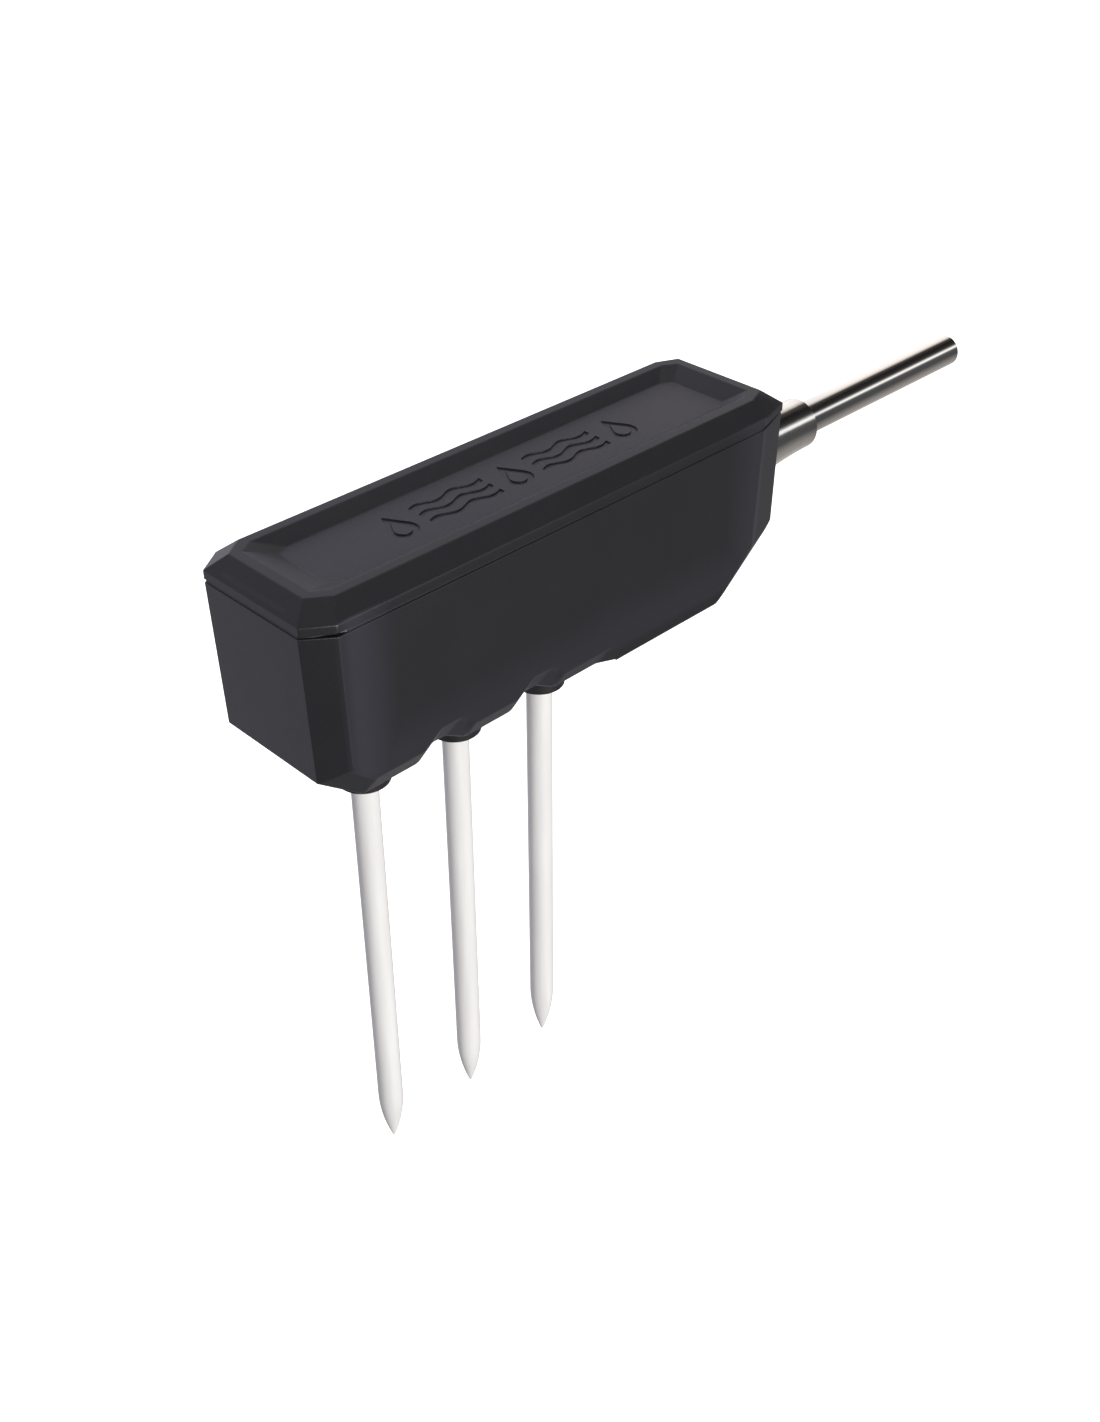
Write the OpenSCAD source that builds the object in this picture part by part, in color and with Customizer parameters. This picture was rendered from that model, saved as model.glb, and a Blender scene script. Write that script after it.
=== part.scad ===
// Three-pin soil moisture sensor, millimetres, +Z up.
// Origin: axis of the centre pin, at the face of its bush that rests on the soil.
// +X runs along the row of pins towards the lead.

/* [Body] */
// Length of the body at the seam under the lid
body_l = 67.2; // [66:0.1:72]
// Width of the body at the seam
body_w = 18.7; // [18.4:0.1:20]
// Height of the body, from the seam down to its feet
body_h = 19.9; // [19:0.1:22]
// Thickness of the side and end walls
wall = 2; // [1.6:0.1:2.2]
// Thickness of the floor that holds the pins
floor_t = 4.7; // [4.2:0.1:5.2]
// Height of the seam between body and lid, where the rib and the gasket lie
seam_gap = 0.3; // [0.2:0.05:0.4]

/* [Lid] */
// Length of the lid at its lip
lid_l = 67.1; // [65.5:0.1:67.2]
// Width of the lid at its lip
lid_w = 18.5; // [18:0.1:18.7]
// Height of the upright lip round the lid
lip_h = 0.9; // [0.7:0.1:1.2]
// Height of the whole lid above the seam
lid_h = 2.5; // [2.3:0.1:3]
// Width of the sloping bevel inside the lip, seen from above
bevel_w = 2; // [1.5:0.1:2.4]
// Width of the flat rim round the recess
rim_w = 1.15; // [0.8:0.05:1.4]
// Depth of the recess in the top
recess_depth = 1.05; // [0.7:0.05:1.2]
// Depth of the droplets and waves cut in the recess
engrave_depth = 0.15; // [0.1:0.05:0.3]

/* [Pins] */
// Distance between neighbouring pins
pin_pitch = 12.7; // [12.5:0.1:13]
// Diameter of a pin
pin_d = 3; // [2.8:0.1:3.2]
// Length of a pin below its bush
pin_l = 55.1; // [40:0.1:70]
// Length of the pointed tip
tip_l = 7.4; // [5:0.1:9]
// Distance from the middle of the body to the centre pin
pin_offset = 9.65; // [9:0.05:10]
// Outer diameter of the bush round a pin
bush_d = 5.8; // [5.4:0.1:6.2]
// Height of a bush below the feet of the body
bush_h = 5.35; // [4.5:0.05:6]

/* [Lead] */
// Outer diameter of the lead tube
lead_d = 4; // [3.8:0.1:4.4]
// Length from the end wall to the end of the lead tube
lead_reach = 44.9; // [30:0.1:60]
// Outer diameter of the sleeve at its free end
sleeve_end_d = 6.2; // [5.8:0.1:6.6]
// Outer diameter of the sleeve at the body
sleeve_base_d = 8.7; // [8:0.1:9]
// Length of the sleeve outside the body
sleeve_l = 14.4; // [10:0.1:16]
// Depth of the lead's axis below the underside of the lid
lead_drop = 8.75; // [8.6:0.05:8.9]

/* [Hidden] */
$fn = 48;

eps = 0.01;

// heights
feet_z = bush_h;
body_top = feet_z + body_h;
lid_z = body_top + seam_gap;
lip_z = lid_z + lip_h;
lid_top = lid_z + lid_h;
floor_z = feet_z + floor_t;
skirt_h = 2.2;
skirt_t = 1.2;

// outlines seen from above: half sizes, and the cuts off the corners at the
// pin end (front) and at the lead end (rear), each along X and along Y
mid_x = pin_offset;
body_hl = body_l / 2;
body_hw = body_w / 2;
lid_hl = lid_l / 2;
lid_hw = lid_w / 2;
body_cut = [2.9, 2.25, 5.05, 1.65];
lip_cut = [2.85, 2, 4.8, 1.4];
rim_cut = [2.3, 1.6, 2.6, 1.2];
recess_cut = [1.65, 1, 1.65, 1];
panel_cut = [1.4, 0.7, 1.4, 0.7];
panel_inset = [2.8, 1.7];
panel_shift = 0.4;
engraving_shift = -0.4;

// the rib that backs the seam, and the gasket inside it: insets at the ends and at the sides
rib_inset = [0.12, 0.22];
rib_t = 0.45;
gasket_inset = rib_inset + (rib_t + 0.05) * [1, 1];

// the lower part of the body
bevel_h = 2.5;
bevel_in = 1.55;
foot_hw = body_hw - bevel_in;
keel_bevel = 0.55;
front_wall_x = mid_x - body_hl + 0.5;
front_wall_z = lid_z - 16.75;
front_edge_x = mid_x - 30.4;
front_edge_z = lid_z - 15.2;
front_bevel_x = mid_x - 27.5;
front_foot_x = mid_x - 28.3;
rear_wall_x = mid_x + body_hl - 0.4;
rear_wall_z = lid_z - 14;
rear_edge_x = mid_x + 27.8;
rear_edge_z = lid_z - 14.8;
step_x = mid_x + 4.8;
step_turn = 2.3;
step_fall = 1.1;
keel_x = [mid_x + 6.3, mid_x + 22.4];
notch_face = [0.85, 3.2, 5.7, 7.5];
notch_foot = [0.95, 2.95, 4.7, 7.35];
notch_rise = 1.7;

// the hollow inside
cavity_hl = body_hl - wall - 0.15;
cavity_hw = body_hw - wall + 0.1;
cavity_r = 2;
slope_x = mid_x + 24.3;
slope_z = lid_z - 11.4;

// pins and what holds them
pin_x = [-pin_pitch, 0, pin_pitch];
pin_r = pin_d / 2;
point_r = 0.15;
point_curve = 1.9;
spigot_d = 4.6;
pin_core_d = 2.6;
seal_t = (spigot_d - pin_core_d) / 2;
flange_d = 6;
flange_h = 1;
shoulder_d = 3.6;
board_z = floor_z + 2.6;
board_t = 1.6;
board_top = board_z + board_t;
stub_d = 1.6;
stub_top = board_top + 1.1;
core_d = 1.4;
core_floor = -pin_l + 12;

// circuit board
board_x = [mid_x - 30, mid_x + 21.5];
board_w = 13.2;

// lead
lead_z = lid_z - lead_drop;
end_x = mid_x + body_hl;
sleeve_x = end_x - 0.7;
seat_x = sleeve_x - 1;
inner_end_x = mid_x + cavity_hl;
shank_d = 6;
nut_w = 9.6;
nut_t = 2.4;
shank_x = inner_end_x - nut_t - 0.8;
tube_wall = 0.6;
tube_spigot_d = 3.4;
tube_x = sleeve_x + 3;
tube_end = end_x + lead_reach;
tube_round = 0.2;
duct_d = lead_d - 2 * tube_wall;
wire_d = 0.9;
wire_r = 0.72;
plug_l = 3;
plug_inset = 0.4;
terminal_l = 6;
terminal_x = board_x[1] - terminal_l;
WIRES = ["red", "black", "white", "green"];

// ---- shared shapes -------------------------------------------------------

// outline with its four corners cut off
function cut_box(hl, hw, c) = [
    [-hl, c[1] - hw], [c[0] - hl, -hw], [hl - c[2], -hw], [hl, c[3] - hw],
    [hl, hw - c[3]], [hl - c[2], hw], [c[0] - hl, hw], [-hl, hw - c[1]]];

// corner cuts of the outline that lies t[0] inside the ends and t[1] inside the sides of
// one with the cuts c
function inner_cut(c, t) = [for (i = [0 : 3])
    let (a = c[i - i % 2], b = c[i - i % 2 + 1])
    c[i] * (1 + t[1] * sqrt(1 / (a * a) + 1 / (b * b)) - t[0] / a - t[1] / b)];

function at_height(outline, z, shift = 0) = [for (p = outline) [p[0] + mid_x + shift, p[1], z]];

function both_sides(points) = concat(points, [for (p = points) [p[0], -p[1], p[2]]]);

// convex solid through a set of points
module solid_of(points)
    hull() polyhedron(points, [[for (i = [0 : len(points) - 1]) i]]);

// upright box with round corners, centred on the body's middle
module round_box(hl, hw, r, z0, z1)
    translate([mid_x, 0, z0]) {
        translate([-hl, r - hw, 0]) cube([2 * hl, 2 * (hw - r), z1 - z0]);
        translate([r - hl, -hw, 0]) cube([2 * (hl - r), 2 * hw, z1 - z0]);
        for (sx = [-1, 1], sy = [-1, 1])
            translate([sx * (hl - r), sy * (hw - r), 0]) cylinder(r = r, h = z1 - z0);
    }

// round bar along the lead's axis, from x0 to x1
module along_lead(x0, x1, d, d_end = -1)
    translate([x0, 0, lead_z]) rotate([0, 90, 0])
        cylinder(d1 = d, d2 = d_end < 0 ? d : d_end, h = x1 - x0);

module ring(inner_d, section_d)
    rotate_extrude() translate([(inner_d + section_d) / 2, 0]) circle(d = section_d, $fn = 24);

// ---- lid -----------------------------------------------------------------

module drop(r) {
    circle(r);
    polygon([[-r * sin(60), r / 2], [0, 2 * r], [r * sin(60), r / 2]]);
}

module drop_line(r, t)
    difference() {
        drop(r);
        drop(r - t);
    }

module wave(length, swing, t) {
    n = 28;
    top = [for (i = [0 : n]) [length * i / n, swing * sin(720 * i / n) + t / 2]];
    low = [for (i = [n : -1 : 0]) [length * i / n, swing * sin(720 * i / n) - t / 2]];
    polygon(concat(top, low));
}

module engraving() {
    stroke = 0.7;
    drop_r = 1.65;
    spread = 15.4;
    wave_l = 9.4;
    wave_swing = 0.36;
    wave_gap = 1.6;
    for (i = [-1 : 1])
        translate([i * spread, -drop_r / 2]) drop_line(drop_r, stroke);
    for (side = [-1, 1], row = [-1 : 1])
        translate([side * spread / 2 - wave_l / 2, row * wave_gap]) wave(wave_l, wave_swing, stroke);
}

module lid()
    color("#3a383d") difference() {
        union() {
            solid_of(concat(
                at_height(cut_box(lid_hl, lid_hw, lip_cut), lid_z),
                at_height(cut_box(lid_hl, lid_hw, lip_cut), lip_z),
                at_height(cut_box(lid_hl - bevel_w, lid_hw - bevel_w, rim_cut), lid_top)));
            difference() {
                round_box(cavity_hl - 0.15, cavity_hw - 0.15, cavity_r - 0.15, lid_z - skirt_h, lid_z + eps);
                round_box(cavity_hl - skirt_t, cavity_hw - skirt_t, cavity_r / 2, lid_z - skirt_h - 1, lid_z);
            }
        }
        recess();
        translate([mid_x + engraving_shift, 0, lid_top - recess_depth - engrave_depth])
            linear_extrude(1) engraving();
    }

module recess() {
    edge = [lid_hl - bevel_w - rim_w, lid_hw - bevel_w - rim_w];
    panel = edge - panel_inset;
    over = 0.2;
    solid_of(concat(
        at_height(cut_box(panel[0], panel[1], panel_cut), lid_top - recess_depth, panel_shift),
        at_height(cut_box(edge[0], edge[1], recess_cut), lid_top),
        at_height(cut_box(edge[0], edge[1], recess_cut), lid_top + over)));
}

// upright prism of the body's outline at the seam, moved inwards by t
module inside_seam(t, z0, z1)
    translate([mid_x, 0, z0]) linear_extrude(z1 - z0)
        polygon(cut_box(body_hl - t[0], body_hw - t[1], inner_cut(body_cut, t)));

module lid_gasket()
    color("#141414") difference() {
        inside_seam(gasket_inset, body_top, lid_z);
        round_box(cavity_hl, cavity_hw, cavity_r, body_top - 1, lid_z + 1);
    }

// ---- body ----------------------------------------------------------------

// full outer form, before the pin end's lower edges are cut back
module body_block()
    solid_of(concat(
        at_height(cut_box(body_hl, body_hw, body_cut), body_top),
        both_sides([
            [front_wall_x, body_hw - body_cut[1], front_wall_z],
            [front_edge_x, body_hw, front_edge_z],
            [front_bevel_x, body_hw, feet_z + bevel_h],
            [front_foot_x, foot_hw, feet_z],
            [keel_x[0], body_hw, feet_z + keel_bevel],
            [keel_x[0], body_hw - keel_bevel, feet_z],
            [keel_x[1], body_hw, feet_z + keel_bevel],
            [keel_x[1], body_hw - keel_bevel, feet_z],
            [rear_edge_x, body_hw, rear_edge_z],
            [rear_wall_x, body_hw - body_cut[3], rear_wall_z]])));

// where the pin zone's bevel ends in a slanted face, at a point across and up
function step_at(y, z) =
    step_x - step_turn * (body_hw - y) - step_fall * (z - feet_z - bevel_h);

// rib under the lid's edge, left open at the pin end's corners and at the lead end
module seam_rib() {
    open_l = body_cut[0] + 1.5;
    open_w = body_cut[1];
    end_open = 1.6;
    difference() {
        inside_seam(rib_inset, body_top - eps, lid_z);
        inside_seam(rib_inset + rib_t * [1, 1], body_top - 1, lid_z + 1);
        translate([end_x - end_open, -body_w, body_top]) cube([end_open, 2 * body_w, 1]);
        for (side = [-1, 1])
            translate([mid_x - body_hl, side * body_hw, body_top]) linear_extrude(1)
                polygon([[open_l, 0], [0, open_w], [-open_l, 0], [0, -open_w]]);
    }
}

// bevel along the pin zone, from the front end to the step before the keel
module pin_zone_cut() {
    over = 1.2;
    slope = bevel_in / bevel_h;
    high = [body_hw + over * slope, feet_z + bevel_h + over];
    low = [foot_hw - over * slope, feet_z - over];
    far = body_hw + 2;
    section = [high, low, [far, high[1]], [far, low[1]]];
    solid_of([for (p = section, x = [mid_x - body_l, step_at(p[0], p[1])]) [x, p[0], p[1]]]);
}

// relief between two neighbouring feet, with the same bevel as the feet
module notch_cut() {
    n = [0 : 3];
    face_z = [0, notch_rise, notch_rise, 0];
    foot_z = [0, notch_rise - 0.2, notch_rise - 0.2, 0];
    face = [for (i = n) [notch_face[i], body_hw, feet_z + bevel_h + face_z[i]]];
    foot = [for (i = n) [notch_foot[i], foot_hw, feet_z + foot_z[i]]];
    outer = [for (i = n) face[i] * 1.6 - foot[i] * 0.6];
    below = [for (x = [notch_foot[0], notch_foot[3]], y = [foot_hw, body_hw + 1]) [x, y, feet_z - 1]];
    solid_of(concat(face, foot, outer, below));
    translate([0, foot_hw + eps, 0]) rotate([90, 0, 0]) linear_extrude(2 * (foot_hw + eps))
        polygon(concat([for (p = foot) [p[0], p[2]]],
            [[notch_foot[3], feet_z - 1], [notch_foot[0], feet_z - 1]]));
}

module cavity(z0, z1)
    intersection() {
        round_box(cavity_hl, cavity_hw, cavity_r, z0, z1);
        translate([0, body_w, 0]) rotate([90, 0, 0]) linear_extrude(2 * body_w)
            polygon([[mid_x - body_l, floor_z], [slope_x, floor_z], [inner_end_x + eps, slope_z],
                     [inner_end_x + eps, lid_top], [mid_x - body_l, lid_top]]);
    }

module body()
    color("#37353a") difference() {
        union() {
            body_block();
            seam_rib();
        }
        for (side = [0, 1]) mirror([0, side, 0]) pin_zone_cut();
        for (i = [0, 1]) translate([pin_x[i], 0, 0]) {
            notch_cut();
            mirror([0, 1, 0]) notch_cut();
        }
        cavity(floor_z, body_top + 1);
        for (x = pin_x) translate([x, 0, feet_z - 1]) cylinder(d = spigot_d, h = floor_t + 2);
        along_lead(inner_end_x - 1, end_x + 1, shank_d);
        along_lead(seat_x, sleeve_x, sleeve_base_d - 0.7);
        along_lead(sleeve_x, end_x + 1, sleeve_base_d + 0.1);
    }

module potting()
    color("#202225") difference() {
        cavity(floor_z, board_z);
        for (x = pin_x) translate([x, 0, floor_z - 1]) cylinder(d = flange_d, h = flange_h + 1);
        for (x = pin_x) translate([x, 0, floor_z]) cylinder(d = shoulder_d, h = board_z);
    }

// ---- pins ----------------------------------------------------------------

// radius of the tip, from t = 0 at the shaft to t = 1 at the point
function tip_radius(t) = pin_r - (pin_r - point_r) * pow(t, point_curve);

// profile of a pin: tip, shaft, core and stub
module pin_profile() {
    steps = 12;
    tip = [for (i = [0 : steps]) [tip_radius(1 - i / steps), -pin_l + tip_l * i / steps]];
    polygon(concat([[0, -pin_l]], tip, [
        [pin_r, 0], [pin_core_d / 2, 0],
        [pin_core_d / 2, board_z],
        [stub_d / 2, board_z], [stub_d / 2, stub_top], [0, stub_top]]));
}

module pin()
    color("#f1efec") rotate_extrude() pin_profile();

module hollow_pin()
    difference() {
        pin();
        translate([0, 0, core_floor]) cylinder(d = core_d, h = board_z - 1 - core_floor);
    }

module bush()
    color("#2a292c") difference() {
        union() {
            cylinder(d = bush_d, h = bush_h);
            cylinder(d = spigot_d, h = floor_z - seal_t);
        }
        translate([0, 0, -1]) cylinder(d = pin_core_d, h = floor_z + 2);
    }

module pin_seal()
    color("#111111") translate([0, 0, floor_z - seal_t / 2]) ring(pin_core_d, seal_t);

// flanged collar pressed on the pin's core: it bears on the floor and carries the board
module pin_collar()
    color("#c9a24a") difference() {
        union() {
            translate([0, 0, floor_z]) cylinder(d = flange_d, h = flange_h);
            translate([0, 0, floor_z]) cylinder(d = shoulder_d, h = board_z - floor_z);
        }
        cylinder(d = pin_core_d, h = board_z + 1);
    }

module solder_joints()
    color("#b9bcc0") for (x = pin_x) translate([x, 0, board_top]) difference() {
        cylinder(d1 = 3.2, d2 = stub_d + 0.3, h = stub_top - board_top);
        translate([0, 0, -1]) cylinder(d = stub_d, h = 4);
    }

module thermistor()
    color("#2b5d3a") translate([0, 0, core_floor]) {
        cylinder(d = core_d - 0.2, h = 2.4);
        translate([0, 0, 2.4]) sphere(d = core_d - 0.2);
    }

module thermistor_leads()
    color("#c8c8cc") for (y = [-0.4, 0.4])
        translate([0, y, core_floor + 3.2]) cylinder(d = 0.35, h = board_z - core_floor - 4.4);

// ---- circuit board -------------------------------------------------------

module circuit_board()
    color("#1f6b3c") difference() {
        translate([board_x[0], -board_w / 2, board_z])
            cube([board_x[1] - board_x[0], board_w, board_t]);
        for (x = pin_x) translate([x, 0, board_z - 1]) cylinder(d = stub_d, h = board_t + 2);
    }

module on_board(x, y, size)
    translate([x - size[0] / 2, y - size[1] / 2, board_top]) cube(size);

// small chip with legs along two sides
module legged_chip(x, y, size, legs) {
    on_board(x, y, size);
    pitch = size[0] / legs;
    for (i = [0 : legs - 1], side = [-1, 1])
        on_board(x + (i - (legs - 1) / 2) * pitch, y + side * size[1] / 2, [0.4, 1.6, size[2] / 2]);
}

module processor()
    color("#1a1a1c") legged_chip(-6.4, 0, [6.4, 6.4, 1.2], 8);

module measuring_chip()
    color("#1a1a1c") legged_chip(6.4, 0, [5, 4, 1.4], 4);

module crystal()
    color("#c4c6ca") on_board(-17.8, 0, [3.2, 5, 1]);

module inductor()
    color("#3b3b3e") on_board(17.9, 3.2, [4, 4, 2]);

module storage_capacitor()
    color("#d5d7da") translate([17.9, -3.1, board_top]) {
        cylinder(d = 4.4, h = 4.6);
        translate([-2.3, -2.3, 0]) cube([4.6, 4.6, 0.6]);
    }

module ceramic_capacitors()
    color("#b08d5f") for (x = [-9, -6.4, -3.8, 5, 7.8], y = [-5.4, 5.4])
        on_board(x, y, [1.6, 0.8, 0.8]);

module resistors()
    color("#202024") for (x = [-16.6, -15, -11, 1.8, 10.8], y = [-5, 5])
        on_board(x, y, [0.8, 1.6, 0.45]);

module wire_terminal()
    color("#e6e4dc") difference() {
        translate([terminal_x, -4, board_top]) cube([terminal_l, 8, lead_z - board_top + 1.8]);
        wires(terminal_x + 2, board_x[1] + 1);
    }

// ---- lead ----------------------------------------------------------------

module wire(i, x0, x1)
    translate([0, wire_r * cos(45 + 90 * i), wire_r * sin(45 + 90 * i)])
        along_lead(x0, x1, wire_d);

module wires(x0, x1)
    for (i = [0 : 3]) wire(i, x0, x1);

module lead_wire(i)
    color(WIRES[i]) wire(i, terminal_x + 2, tube_end - plug_inset);

// sleeve that flares towards the body along an arc
module sleeve() {
    steps = 8;
    base = sleeve_base_d / 2;
    tip = sleeve_end_d / 2;
    lip = 0.25;
    flare = [for (i = [0 : steps]) [base - (base - tip) * sin(90 * i / steps), sleeve_l * i / steps]];
    color("#8f8d8b") difference() {
        union() {
            translate([sleeve_x, 0, lead_z]) rotate([0, 90, 0]) rotate_extrude()
                polygon(concat([[0, 0]], [for (i = [0 : steps - 1]) flare[i]],
                    [[tip, sleeve_l - lip], [tip - lip, sleeve_l], [0, sleeve_l]]));
            along_lead(shank_x, sleeve_x, shank_d);
        }
        along_lead(tube_x, sleeve_x + sleeve_l + 1, tube_spigot_d);
        along_lead(shank_x - 1, tube_x + 1, duct_d);
    }
}

module sleeve_seal()
    color("#111111") translate([(seat_x + sleeve_x) / 2, 0, lead_z]) rotate([0, 90, 0])
        ring(shank_d, sleeve_x - seat_x);

module sleeve_nut()
    color("#c9a24a") difference() {
        translate([inner_end_x - nut_t, 0, lead_z]) rotate([0, 90, 0])
            cylinder(d = nut_w / cos(30), h = nut_t, $fn = 6);
        along_lead(inner_end_x - nut_t - 1, inner_end_x + 1, shank_d);
    }

module lead_tube()
    color("#8f8d8b") difference() {
        union() {
            along_lead(tube_x, sleeve_x + sleeve_l, tube_spigot_d);
            along_lead(sleeve_x + sleeve_l, tube_end - tube_round, lead_d);
            along_lead(tube_end - tube_round, tube_end, lead_d, lead_d - 2 * tube_round);
        }
        along_lead(tube_x - 1, tube_end + 1, duct_d);
    }

module tube_plug()
    color("#1b1b1d") difference() {
        along_lead(tube_end - plug_inset - plug_l, tube_end - plug_inset, duct_d);
        wires(tube_end - plug_inset - plug_l - 1, tube_end);
    }

// ---- assembly ------------------------------------------------------------

module at_pin(i)
    translate([pin_x[i], 0, 0]) children();

lid();
lid_gasket();
body();
potting();
circuit_board();
at_pin(0) pin();  // front_pin
at_pin(1) hollow_pin();  // centre_pin
at_pin(2) pin();  // rear_pin
at_pin(0) bush();  // front_bush
at_pin(1) bush();  // centre_bush
at_pin(2) bush();  // rear_bush
at_pin(0) pin_seal();  // front_pin_seal
at_pin(1) pin_seal();  // centre_pin_seal
at_pin(2) pin_seal();  // rear_pin_seal
at_pin(0) pin_collar();  // front_pin_collar
at_pin(1) pin_collar();  // centre_pin_collar
at_pin(2) pin_collar();  // rear_pin_collar
solder_joints();
thermistor();
thermistor_leads();
processor();
measuring_chip();
crystal();
inductor();
storage_capacitor();
ceramic_capacitors();
resistors();
wire_terminal();
lead_wire(0);  // red_wire
lead_wire(1);  // black_wire
lead_wire(2);  // white_wire
lead_wire(3);  // green_wire
sleeve();
sleeve_seal();
sleeve_nut();
lead_tube();
tube_plug();
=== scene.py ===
"""Three-pin soil moisture sensor: finishes, soft edges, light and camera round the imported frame."""
import math

import bmesh
import bpy
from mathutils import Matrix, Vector


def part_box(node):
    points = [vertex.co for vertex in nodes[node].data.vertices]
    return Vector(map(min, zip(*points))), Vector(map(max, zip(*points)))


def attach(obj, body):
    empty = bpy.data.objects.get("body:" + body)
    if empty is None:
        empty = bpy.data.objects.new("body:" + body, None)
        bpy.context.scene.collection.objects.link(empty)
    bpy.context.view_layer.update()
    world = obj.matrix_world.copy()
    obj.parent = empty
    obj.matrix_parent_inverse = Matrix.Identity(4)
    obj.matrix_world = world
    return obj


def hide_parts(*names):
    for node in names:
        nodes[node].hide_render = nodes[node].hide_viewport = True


MM = 0.001
BODY = "root"

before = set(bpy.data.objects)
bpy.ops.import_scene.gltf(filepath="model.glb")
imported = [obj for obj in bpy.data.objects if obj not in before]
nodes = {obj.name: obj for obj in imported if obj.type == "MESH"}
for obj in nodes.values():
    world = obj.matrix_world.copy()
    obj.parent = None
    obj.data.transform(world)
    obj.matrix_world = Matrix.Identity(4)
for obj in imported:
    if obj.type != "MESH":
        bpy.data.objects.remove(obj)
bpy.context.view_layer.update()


# ---- places taken from the frame -------------------------------------------

lid_lo, lid_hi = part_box("lid")
body_lo, body_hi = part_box("body")
pin_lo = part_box("centre_pin")[0]


# ---- material helpers ------------------------------------------------------

def linear(hex_colour):
    """Linear colour from a six-digit sRGB hex string."""
    parts = [int(hex_colour[i:i + 2], 16) / 255 for i in (0, 2, 4)]
    return tuple(c / 12.92 if c <= 0.04045 else ((c + 0.055) / 1.055) ** 2.4
                 for c in parts) + (1,)


def lighter(colour, factor):
    """The same linear colour, so many times as bright."""
    return tuple(min(1, c * factor) for c in colour[:3]) + (1,)


class Shade:
    """A material with a principled shader, and short calls that add nodes to it."""

    NOISE_RANGE = (0.3, 0.7)  # where nearly all of a noise's values lie

    def __init__(self, name, **sockets):
        self.material = bpy.data.materials.new(name)
        self.material.use_nodes = True
        self.tree = self.material.node_tree
        self.shader = self.tree.nodes["Principled BSDF"]
        for socket, value in sockets.items():
            self.shader.inputs[socket.replace("_", " ")].default_value = value
        self.coords = self.tree.nodes.new("ShaderNodeTexCoord").outputs["Object"]

    def put(self, socket, value):
        """Link a socket to another node's output, or set it to a constant."""
        if isinstance(value, bpy.types.NodeSocket):
            self.tree.links.new(value, socket)
        else:
            socket.default_value = value

    def node(self, kind, inputs=None, **settings):
        made = self.tree.nodes.new("ShaderNode" + kind)
        for key, value in settings.items():
            setattr(made, key, value)
        for key, value in (inputs or {}).items():
            self.put(made.inputs[key], value)
        return made

    def noise(self, size_mm, detail=3, stretch=(1, 1, 1)):
        """Noise whose blobs are about size_mm across."""
        scaled = self.node("Mapping", {"Vector": self.coords, "Scale": stretch})
        inputs = {"Vector": scaled.outputs["Vector"], "Scale": 1 / (size_mm * MM),
                  "Detail": detail}
        return self.node("TexNoise", inputs).outputs["Fac"]

    def ramp(self, noise, low, high):
        """Colour that goes from low to high with a noise."""
        made = self.node("ValToRGB", {"Fac": noise})
        for stop, position, colour in zip(made.color_ramp.elements, self.NOISE_RANGE, (low, high)):
            stop.position = position
            stop.color = colour
        return made.outputs["Color"]

    def span(self, factor, low, high, start=0.0, end=1.0):
        """Number that goes from low to high as factor goes from start to end."""
        made = self.node("MapRange", {"Value": factor, "From Min": start, "From Max": end,
                                      "To Min": low, "To Max": high})
        return made.outputs["Result"]

    def mix(self, factor, low, high):
        """Colour between low and high."""
        made = self.node("Mix", data_type="RGBA")
        colours = [i for i in made.inputs if i.type == "RGBA"]
        self.put([i for i in made.inputs if i.name == "Factor"][0], factor)
        for socket, value in zip(colours, (low, high)):
            self.put(socket, value)
        return [o for o in made.outputs if o.type == "RGBA"][0]

    def math(self, operation, a, b=0.0):
        return self.node("Math", {0: a, 1: b}, operation=operation).outputs[0]

    def feed(self, socket, value):
        self.tree.links.new(value, self.shader.inputs[socket])

    def bump(self, *layers):
        """Bump from pairs of a height and a depth in millimetres."""
        normal = None
        for height, depth in layers:
            inputs = {"Height": height, "Distance": depth * MM, "Strength": 1.0}
            if normal:
                inputs["Normal"] = normal
            normal = self.node("Bump", inputs).outputs["Normal"]
        self.feed("Normal", normal)


# ---- the casing ------------------------------------------------------------

# A painted sheen: the paler band just inside the outline of a long side. Each edge has the
# distance from the box's face to where the side's flat part ends, and the band's strength there.
SHEEN_PIN_END = (2.4 * MM, 1.0)
SHEEN_LEAD_END = (3.6 * MM, 0.65)
SHEEN_FOOT = (1.5 * MM, 0.4)
SHEEN_RISE = 1.8 * MM
SHEEN_FALL = (2.6 * MM, 7 * MM)
SIDE_SKIN = 0.3 * MM

# The floor of the lid's recess, by its depth under the rim. The limit lies under the engraving.
PANEL_DEPTH = (0.95 * MM, 1.05 * MM)
PANEL_LIMIT = 1.3 * MM
PANEL_HALF_WIDTH = 4.8 * MM
PANEL_POLISH = 0.05


def painted_sheen_mask(s, low, high):
    """Painted sheen: a soft paler band just inside the outline of a box's long sides, strongest at
    the low-X end.
    """
    split = s.node("SeparateXYZ", {0: s.coords}).outputs
    inside = [(s.math("SUBTRACT", split["X"], low.x + SHEEN_PIN_END[0]), SHEEN_PIN_END[1]),
              (s.math("SUBTRACT", high.x - SHEEN_LEAD_END[0], split["X"]), SHEEN_LEAD_END[1]),
              (s.math("SUBTRACT", split["Z"], low.z + SHEEN_FOOT[0]), SHEEN_FOOT[1])]
    side = s.math("GREATER_THAN", s.math("ABSOLUTE", split["Y"]), high.y - SIDE_SKIN)
    mask = None
    for near, strength in inside:
        fall = s.span(near, strength, 0.0, *SHEEN_FALL)
        mask = s.math("MAXIMUM", mask, fall) if mask else fall
    for near, strength in inside:
        mask = s.math("MINIMUM", mask, s.span(near, 0.0, 1.0, 0.0, SHEEN_RISE))
    return s.math("MULTIPLY", mask, side)


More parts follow.
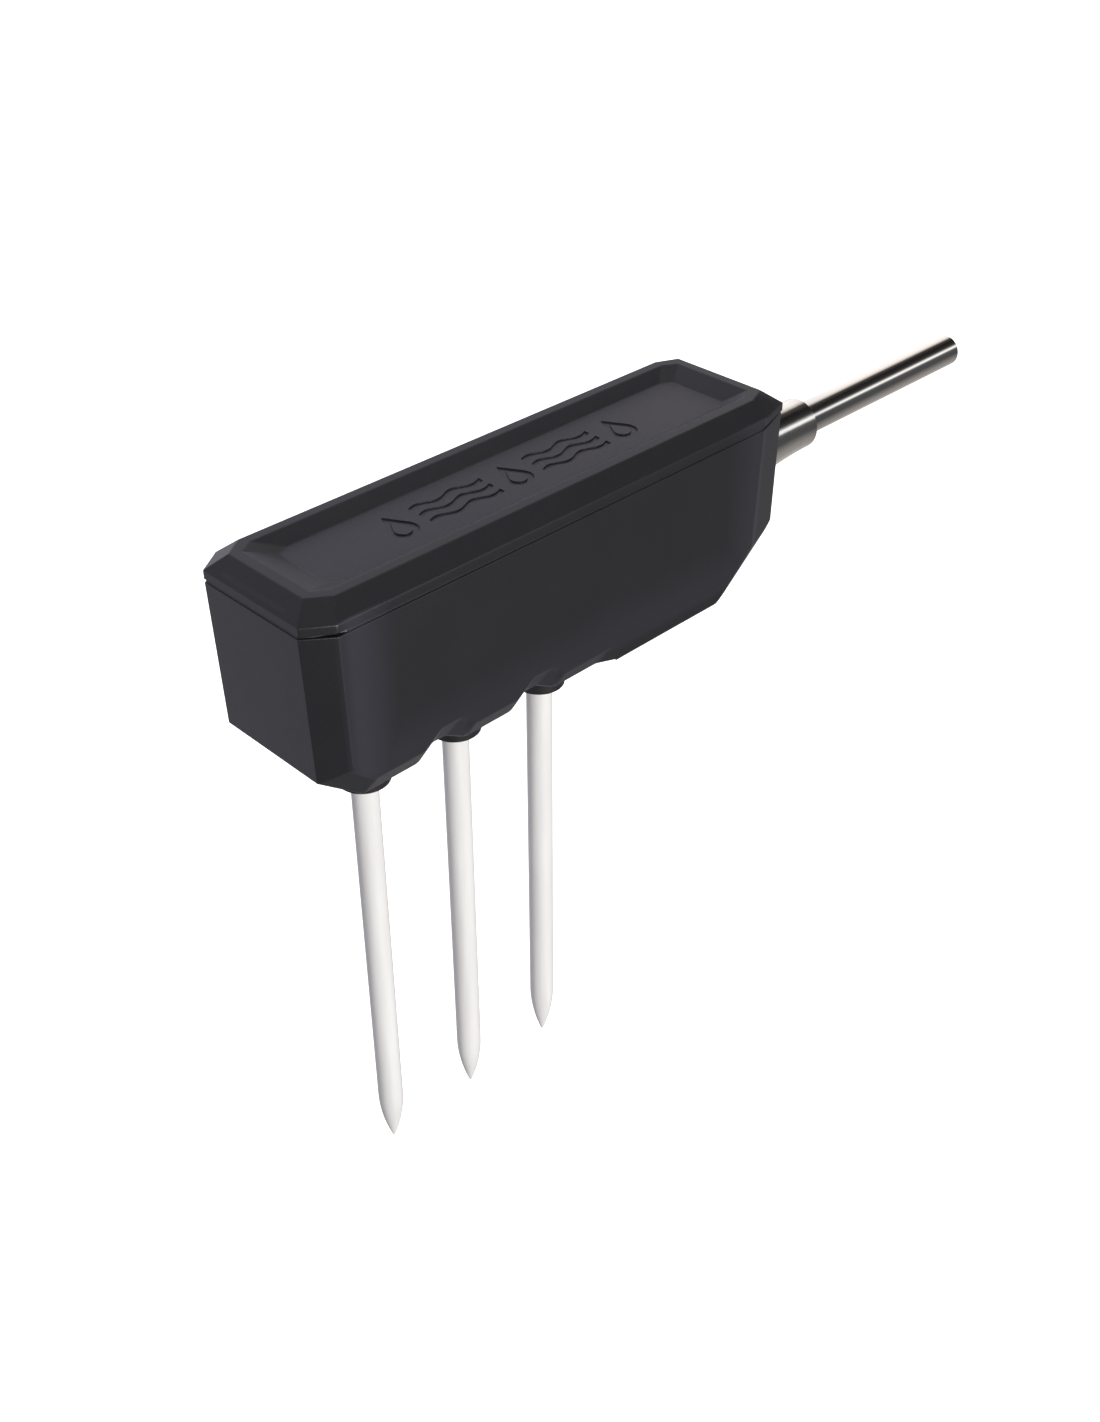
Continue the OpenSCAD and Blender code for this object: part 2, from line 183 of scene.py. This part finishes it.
def panel_mask(s, high):
    """1 on the floor of the lid's recess, 0 elsewhere."""
    split = s.node("SeparateXYZ", {0: s.coords}).outputs
    depth = s.math("SUBTRACT", high.z, split["Z"])
    deep = s.span(depth, 0.0, 1.0, *PANEL_DEPTH)
    inside = s.math("LESS_THAN", s.math("ABSOLUTE", split["Y"]), PANEL_HALF_WIDTH)
    return s.math("MULTIPLY", s.math("MULTIPLY", deep, inside),
                  s.math("LESS_THAN", depth, PANEL_LIMIT))


def casing_material():
    """Charcoal plastic with a fine moulded grain, paler in the recess, with a painted sheen near the
    rims.
    """
    s = Shade("charcoal_plastic", Specular_IOR_Level=0.5, Specular_Tint=(0.9, 0.885, 1.0, 1))
    grain = s.noise(0.13, detail=4)
    cloud = s.noise(9, detail=2)
    base = s.ramp(cloud, linear("191919"), linear("1c1c1d"))
    painted_sheen = painted_sheen_mask(s, body_lo, body_hi)
    panel = panel_mask(s, lid_hi)
    base = s.mix(panel, base, linear("212023"))
    # Painted sheen: the band near the rims of the long sides gets a paler violet colour.
    s.feed("Base Color", s.mix(painted_sheen, base, linear("2b2a30")))
    rough = s.span(grain, 0.36, 0.5)
    s.feed("Roughness", s.math("SUBTRACT", rough, s.span(panel, 0.0, PANEL_POLISH)))
    s.bump((grain, 0.015), (s.noise(2.2), 0.008))
    return s.material


# ---- the other materials ---------------------------------------------------

def dark_material(name, colour, roughness, grain_mm=0.2):
    """Matte rubber, resin or plastic with a fine grain."""
    s = Shade(name, Specular_IOR_Level=0.4)
    grain = s.noise(grain_mm)
    low = linear(colour)
    s.feed("Base Color", s.ramp(s.noise(3), low, lighter(low, 1.35)))
    s.feed("Roughness", s.span(grain, roughness - 0.08, roughness + 0.08))
    s.bump((grain, 0.01))
    return s.material


def pin_material():
    """Satin white coat with faint long streaks."""
    s = Shade("satin_white_coat", Specular_IOR_Level=0.5)
    streak = s.noise(1.2, detail=3, stretch=(1, 1, 0.08))
    s.feed("Base Color", s.ramp(streak, linear("d8d6d2"), linear("e1dfdb")))
    s.feed("Roughness", s.span(s.noise(0.3), 0.3, 0.42))
    s.bump((streak, 0.006), (s.noise(0.12), 0.003))
    return s.material


def steel_material(name, colour, roughness):
    """Polished steel with fine turning lines round the lead's axis."""
    s = Shade(name, Metallic=1.0)
    lines = s.noise(0.5, detail=4, stretch=(6, 0.4, 0.4))
    low = linear(colour)
    s.feed("Base Color", s.ramp(lines, low, lighter(low, 1.08)))
    s.feed("Roughness", s.span(s.noise(1.5), roughness - 0.02, roughness + 0.02))
    s.bump((lines, 0.0004))
    return s.material


def plain_material(name, colour, roughness, metallic=0.0):
    """Small inner parts: an even colour with slight mottling."""
    s = Shade(name, Metallic=metallic)
    low = linear(colour)
    s.feed("Base Color", s.ramp(s.noise(1), low, lighter(low, 1.2)))
    s.feed("Roughness", s.span(s.noise(0.4), roughness - 0.05, roughness + 0.05))
    return s.material


casing = casing_material()
steel = steel_material("polished_steel", "f2efec", 0.09)
rubber = dark_material("black_rubber", "0c0c0d", 0.7)
resin = dark_material("cast_resin", "161618", 0.35, 0.5)

FINISHES = {
    "lid": casing,
    "body": casing,
    "lid_gasket": rubber,
    "potting": resin,
    "tube_plug": resin,
    "circuit_board": plain_material("solder_mask", "12542c", 0.35),
    "solder_joints": plain_material("solder", "b9bcc0", 0.25, 1.0),
    "thermistor": plain_material("green_bead", "1f5a34", 0.2),
    "thermistor_leads": plain_material("tinned_leads", "c8c8cc", 0.25, 1.0),
    "processor": plain_material("chip_resin", "18181a", 0.5),
    "measuring_chip": plain_material("chip_resin_small", "1a1a1d", 0.5),
    "crystal": plain_material("crystal_can", "c4c6ca", 0.3, 1.0),
    "inductor": plain_material("ferrite", "38383b", 0.6),
    "storage_capacitor": plain_material("capacitor_can", "d5d7da", 0.3, 1.0),
    "ceramic_capacitors": plain_material("capacitor_ceramic", "a88556", 0.5),
    "resistors": plain_material("resistor_ceramic", "202024", 0.5),
    "wire_terminal": plain_material("terminal_nylon", "e2e0d6", 0.4),
    "red_wire": plain_material("red_insulation", "b01c18", 0.35),
    "black_wire": plain_material("black_insulation", "141414", 0.35),
    "white_wire": plain_material("white_insulation", "e8e8e4", 0.35),
    "green_wire": plain_material("green_insulation", "1c7a3c", 0.35),
    "sleeve": steel,
    "lead_tube": steel,
    "sleeve_seal": rubber,
}
pin_coat = pin_material()
brass = plain_material("brass", "c9a24a", 0.3, 1.0)
FINISHES["sleeve_nut"] = brass
bush_plastic = dark_material("bush_plastic", "19181a", 0.5)
for place in ("front", "centre", "rear"):
    FINISHES[place + "_pin"] = pin_coat
    FINISHES[place + "_bush"] = bush_plastic
    FINISHES[place + "_pin_seal"] = rubber
    FINISHES[place + "_pin_collar"] = brass

for name, material in FINISHES.items():
    nodes[name].data.materials.clear()
    nodes[name].data.materials.append(material)


# ---- soft edges ------------------------------------------------------------

WELD = 0.002 * MM
FLAT_DEG = 0.6  # faces that meet at less than this become one
SHARP_DEG = 12  # edges that bend less than this stay as they are
EDGE_SEGMENTS = 3
LID_EDGE_MM = 0.12
BODY_EDGE_MM = 0.28


def cleaned(node):
    """Copy of a CAD node's mesh with joined vertices and whole flat faces."""
    bm = bmesh.new()
    bm.from_mesh(nodes[node].data)
    bmesh.ops.remove_doubles(bm, verts=bm.verts, dist=WELD)
    bmesh.ops.dissolve_limit(bm, angle_limit=math.radians(FLAT_DEG), verts=bm.verts,
                             edges=bm.edges)
    bmesh.ops.recalc_face_normals(bm, faces=bm.faces)
    return bm


def soften(node, radius_mm, share):
    """Piece that stands for a CAD node, with rounded edges; share(point) scales the radius."""
    bm = cleaned(node)
    weight = bm.edges.layers.float.new("bevel_weight_edge")
    for edge in bm.edges:
        if len(edge.link_faces) != 2 or edge.calc_face_angle() < math.radians(SHARP_DEG):
            continue
        edge[weight] = share((edge.verts[0].co + edge.verts[1].co) / 2)
    mesh = bpy.data.meshes.new(node + "_shell")
    bm.to_mesh(mesh)
    bm.free()
    mesh.shade_smooth()
    mesh.materials.append(FINISHES[node])
    piece = bpy.data.objects.new(node + "_shell", mesh)
    bpy.context.scene.collection.objects.link(piece)
    bevel = piece.modifiers.new("edges", "BEVEL")
    bevel.width = radius_mm * MM
    bevel.segments = EDGE_SEGMENTS
    bevel.limit_method = "WEIGHT"
    bevel.use_clamp_overlap = False
    bevel.harden_normals = False
    weighted = piece.modifiers.new("normals", "WEIGHTED_NORMAL")
    weighted.keep_sharp = True
    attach(piece, BODY)
    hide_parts(node)


def lid_share(point):
    """Crisp edges inside the casing and in the engraving, softer ones elsewhere."""
    lip_reach, side_skin = 2.3 * MM, 0.6 * MM
    recess_depth, mark_half_width = 0.6 * MM, 3.6 * MM
    below_lip = point.z < lid_hi.z - lip_reach and abs(point.y) < lid_hi.y - side_skin
    in_recess = point.z < lid_hi.z - recess_depth and abs(point.y) < mark_half_width
    return 0.25 if below_lip or in_recess else 1.0


def body_share(point):
    """Crisp edges at the seam and in the hollow, soft ones down the outside."""
    wall, floor_skin, seam_edge, seam_band = 1.7 * MM, 0.5 * MM, 0.2 * MM, 0.5 * MM
    if abs(point.y) < body_hi.y - wall and point.z > body_lo.z + floor_skin:
        return 0.2
    if point.z > body_hi.z - seam_edge:
        return 0.2
    if point.z > body_hi.z - seam_band:
        return 0.4
    return 1.0


soften("lid", LID_EDGE_MM, lid_share)
soften("body", BODY_EDGE_MM, body_share)


# ---- studio ----------------------------------------------------------------

FLOOR_HALF = 6.0
FLOOR_DROP = 0.25
FLOOR_MOTTLE_MM = 400

KEY_PLACE = (-0.08, -0.9, 0.12)
KEY_SIZE = (0.5, 0.5)
KEY_POWER = 10.6
KEY_AIM = (0.01, 0, -0.005)

LENS_MM = 42.44
SENSOR_MM = 36
CAMERA_CLIP = (0.01, 20)
CAMERA_PLACE = (-95.73 * MM, -112.35 * MM, 105.92 * MM)
CAMERA_TURN_DEG = (54.793, 0.202, -44.573)

# What stands round the object, by the angle about the lead's axis: 0 is straight behind it,
# 90 overhead, 180 in front of the long side and -90 below. Each row is an angle and a colour.
SURROUND = [
    (-180, (0.07, 0.074, 0.08)),
    (-160, (0.075, 0.078, 0.083)),
    (-142, (0.16, 0.16, 0.16)),
    (-122, (0.26, 0.255, 0.25)),
    (-100, (0.31, 0.305, 0.30)),
    (-65, (0.5, 0.5, 0.5)),
    (-40, (1.0, 1.0, 1.0)),
    (12, (1.15, 1.14, 1.16)),
    (50, (1.0, 0.99, 1.0)),
    (66, (0.56, 0.53, 0.5)),
    (74, (0.07, 0.068, 0.066)),
    (98, (0.011, 0.011, 0.011)),
    (120, (0.025, 0.025, 0.026)),
    (131, (0.06, 0.062, 0.065)),
    (139, (0.35, 0.36, 0.37)),
    (146, (1.05, 1.09, 1.12)),
    (154, (1.0, 1.04, 1.07)),
    (160, (0.3, 0.31, 0.32)),
    (165, (0.1, 0.104, 0.11)),
    (180, (0.07, 0.074, 0.08)),
]
# How strong it is and of what tint, from the pin end's side (-1) to the lead's end (1).
LEVELS = [
    (-0.6, (0.59, 0.585, 0.65)),
    (-0.37, (0.5, 0.495, 0.55)),
    (0.2, (0.88, 0.865, 0.96)),
    (0.45, (0.86, 0.845, 0.94)),
    (0.69, (0.53, 0.525, 0.585)),
    (0.75, (1.0, 0.965, 0.93)),
    (0.8, (1.0, 0.965, 0.93)),
    (0.92, (0.8, 0.79, 0.87)),
]
# A grey glow high above the object. It counts where it is brighter than the rest. Its strength
# goes along X in the same way, times a rise with height and a rise and a fall from front to back.
GLOW = [(-0.4, 0.62), (0.1, 0.6), (0.64, 0.9), (0.72, 0.0)]
GLOW_HEIGHT = (0.3, 0.6)
GLOW_FRONT = (-0.36, -0.06)
GLOW_BACK = (0.15, 0.5)


def floor():
    """White sweep that shows behind the object but throws no light on it."""
    mesh = bpy.data.meshes.new("floor")
    z = pin_lo.z - FLOOR_DROP
    corners = [(-1, -1), (1, -1), (1, 1), (-1, 1)]
    mesh.from_pydata([(x * FLOOR_HALF, y * FLOOR_HALF, z) for x, y in corners],
                     [], [(0, 1, 2, 3)])
    s = Shade("pale_floor", Roughness=0.9, Specular_IOR_Level=0.2, Emission_Strength=1.0,
              Emission_Color=(1, 1, 1, 1))
    s.feed("Base Color", s.ramp(s.noise(FLOOR_MOTTLE_MM), linear("fbfbfb"), linear("ffffff")))
    mesh.materials.append(s.material)
    piece = bpy.data.objects.new("floor", mesh)
    bpy.context.scene.collection.objects.link(piece)
    piece.visible_diffuse = False
    piece.visible_glossy = False


def softbox(name, place, size, power, aim):
    """Oblong area light at place, in metres, that points at aim."""
    light = bpy.data.lights.new(name, "AREA")
    light.shape = "RECTANGLE"
    light.size, light.size_y = size
    light.energy = power
    lamp = bpy.data.objects.new(name, light)
    bpy.context.scene.collection.objects.link(lamp)
    lamp.location = place
    lamp.visible_camera = False
    lamp.rotation_euler = (Vector(aim) - Vector(place)).to_track_quat("-Z", "Y").to_euler()


def surround():
    """World of long soft boxes parallel to the casing: violet along it, warm towards the lead."""
    world = bpy.data.worlds.new("studio")
    bpy.context.scene.world = world
    world.use_nodes = True
    tree = world.node_tree
    lit = tree.nodes["Background"]

    def node(kind, *inputs, **settings):
        made = tree.nodes.new("ShaderNode" + kind)
        for key, value in settings.items():
            setattr(made, key, value)
        for socket, value in zip(made.inputs, inputs):
            if isinstance(value, bpy.types.NodeSocket):
                tree.links.new(value, socket)
            else:
                socket.default_value = value
        return made

    def reach(value, start, end, low=0.0, high=1.0):
        return node("MapRange", value, start, end, low, high).outputs["Result"]

    def vector(operation, a, b):
        return node("VectorMath", a, b, operation=operation).outputs[0]

    def ramp(value, start, end, rows):
        """Colour by a value from start to end; each row is a value and a colour."""
        made = node("ValToRGB", reach(value, start, end))
        stops = made.color_ramp.elements
        while len(stops) < len(rows):
            stops.new(0.5)
        for stop, (at, colour) in zip(stops, rows):
            stop.position = (at - start) / (end - start)
            stop.color = colour + (1,)
        return made.outputs["Color"]

    split = node("SeparateXYZ", node("TexCoord").outputs["Generated"]).outputs
    angle = node("Math", split["Z"], split["Y"], operation="ARCTAN2").outputs[0]
    around = ramp(angle, -math.pi, math.pi, [(math.radians(a), c) for a, c in SURROUND])
    along = ramp(split["X"], -1.0, 1.0, LEVELS)
    glow = ramp(split["X"], -1.0, 1.0, [(x, (grey, grey, grey)) for x, grey in GLOW])
    glow = vector("MULTIPLY", glow, reach(split["Z"], *GLOW_HEIGHT))
    glow = vector("MULTIPLY", glow, reach(split["Y"], *GLOW_FRONT))
    glow = vector("MULTIPLY", glow, reach(split["Y"], *GLOW_BACK, 1.0, 0.0))
    brightest = vector("MAXIMUM", vector("MULTIPLY", around, along), glow)
    tree.links.new(brightest, lit.inputs["Color"])
    white = node("Background", (1, 1, 1, 1), 1.0)
    choice = node("MixShader", node("LightPath").outputs["Is Camera Ray"],
                  lit.outputs[0], white.outputs[0])
    tree.links.new(choice.outputs[0], tree.nodes["World Output"].inputs["Surface"])


def camera():
    """The view down on the pin end and the long side, with a lens a little longer than normal."""
    data = bpy.data.cameras.new("camera")
    data.lens = LENS_MM
    data.sensor_width = SENSOR_MM
    data.clip_start, data.clip_end = CAMERA_CLIP
    piece = bpy.data.objects.new("camera", data)
    bpy.context.scene.collection.objects.link(piece)
    piece.location = CAMERA_PLACE
    piece.rotation_euler = [math.radians(a) for a in CAMERA_TURN_DEG]
    bpy.context.scene.camera = piece


floor()
surround()
softbox("key", KEY_PLACE, KEY_SIZE, KEY_POWER, KEY_AIM)
camera()
bpy.context.scene.view_settings.view_transform = "Standard"
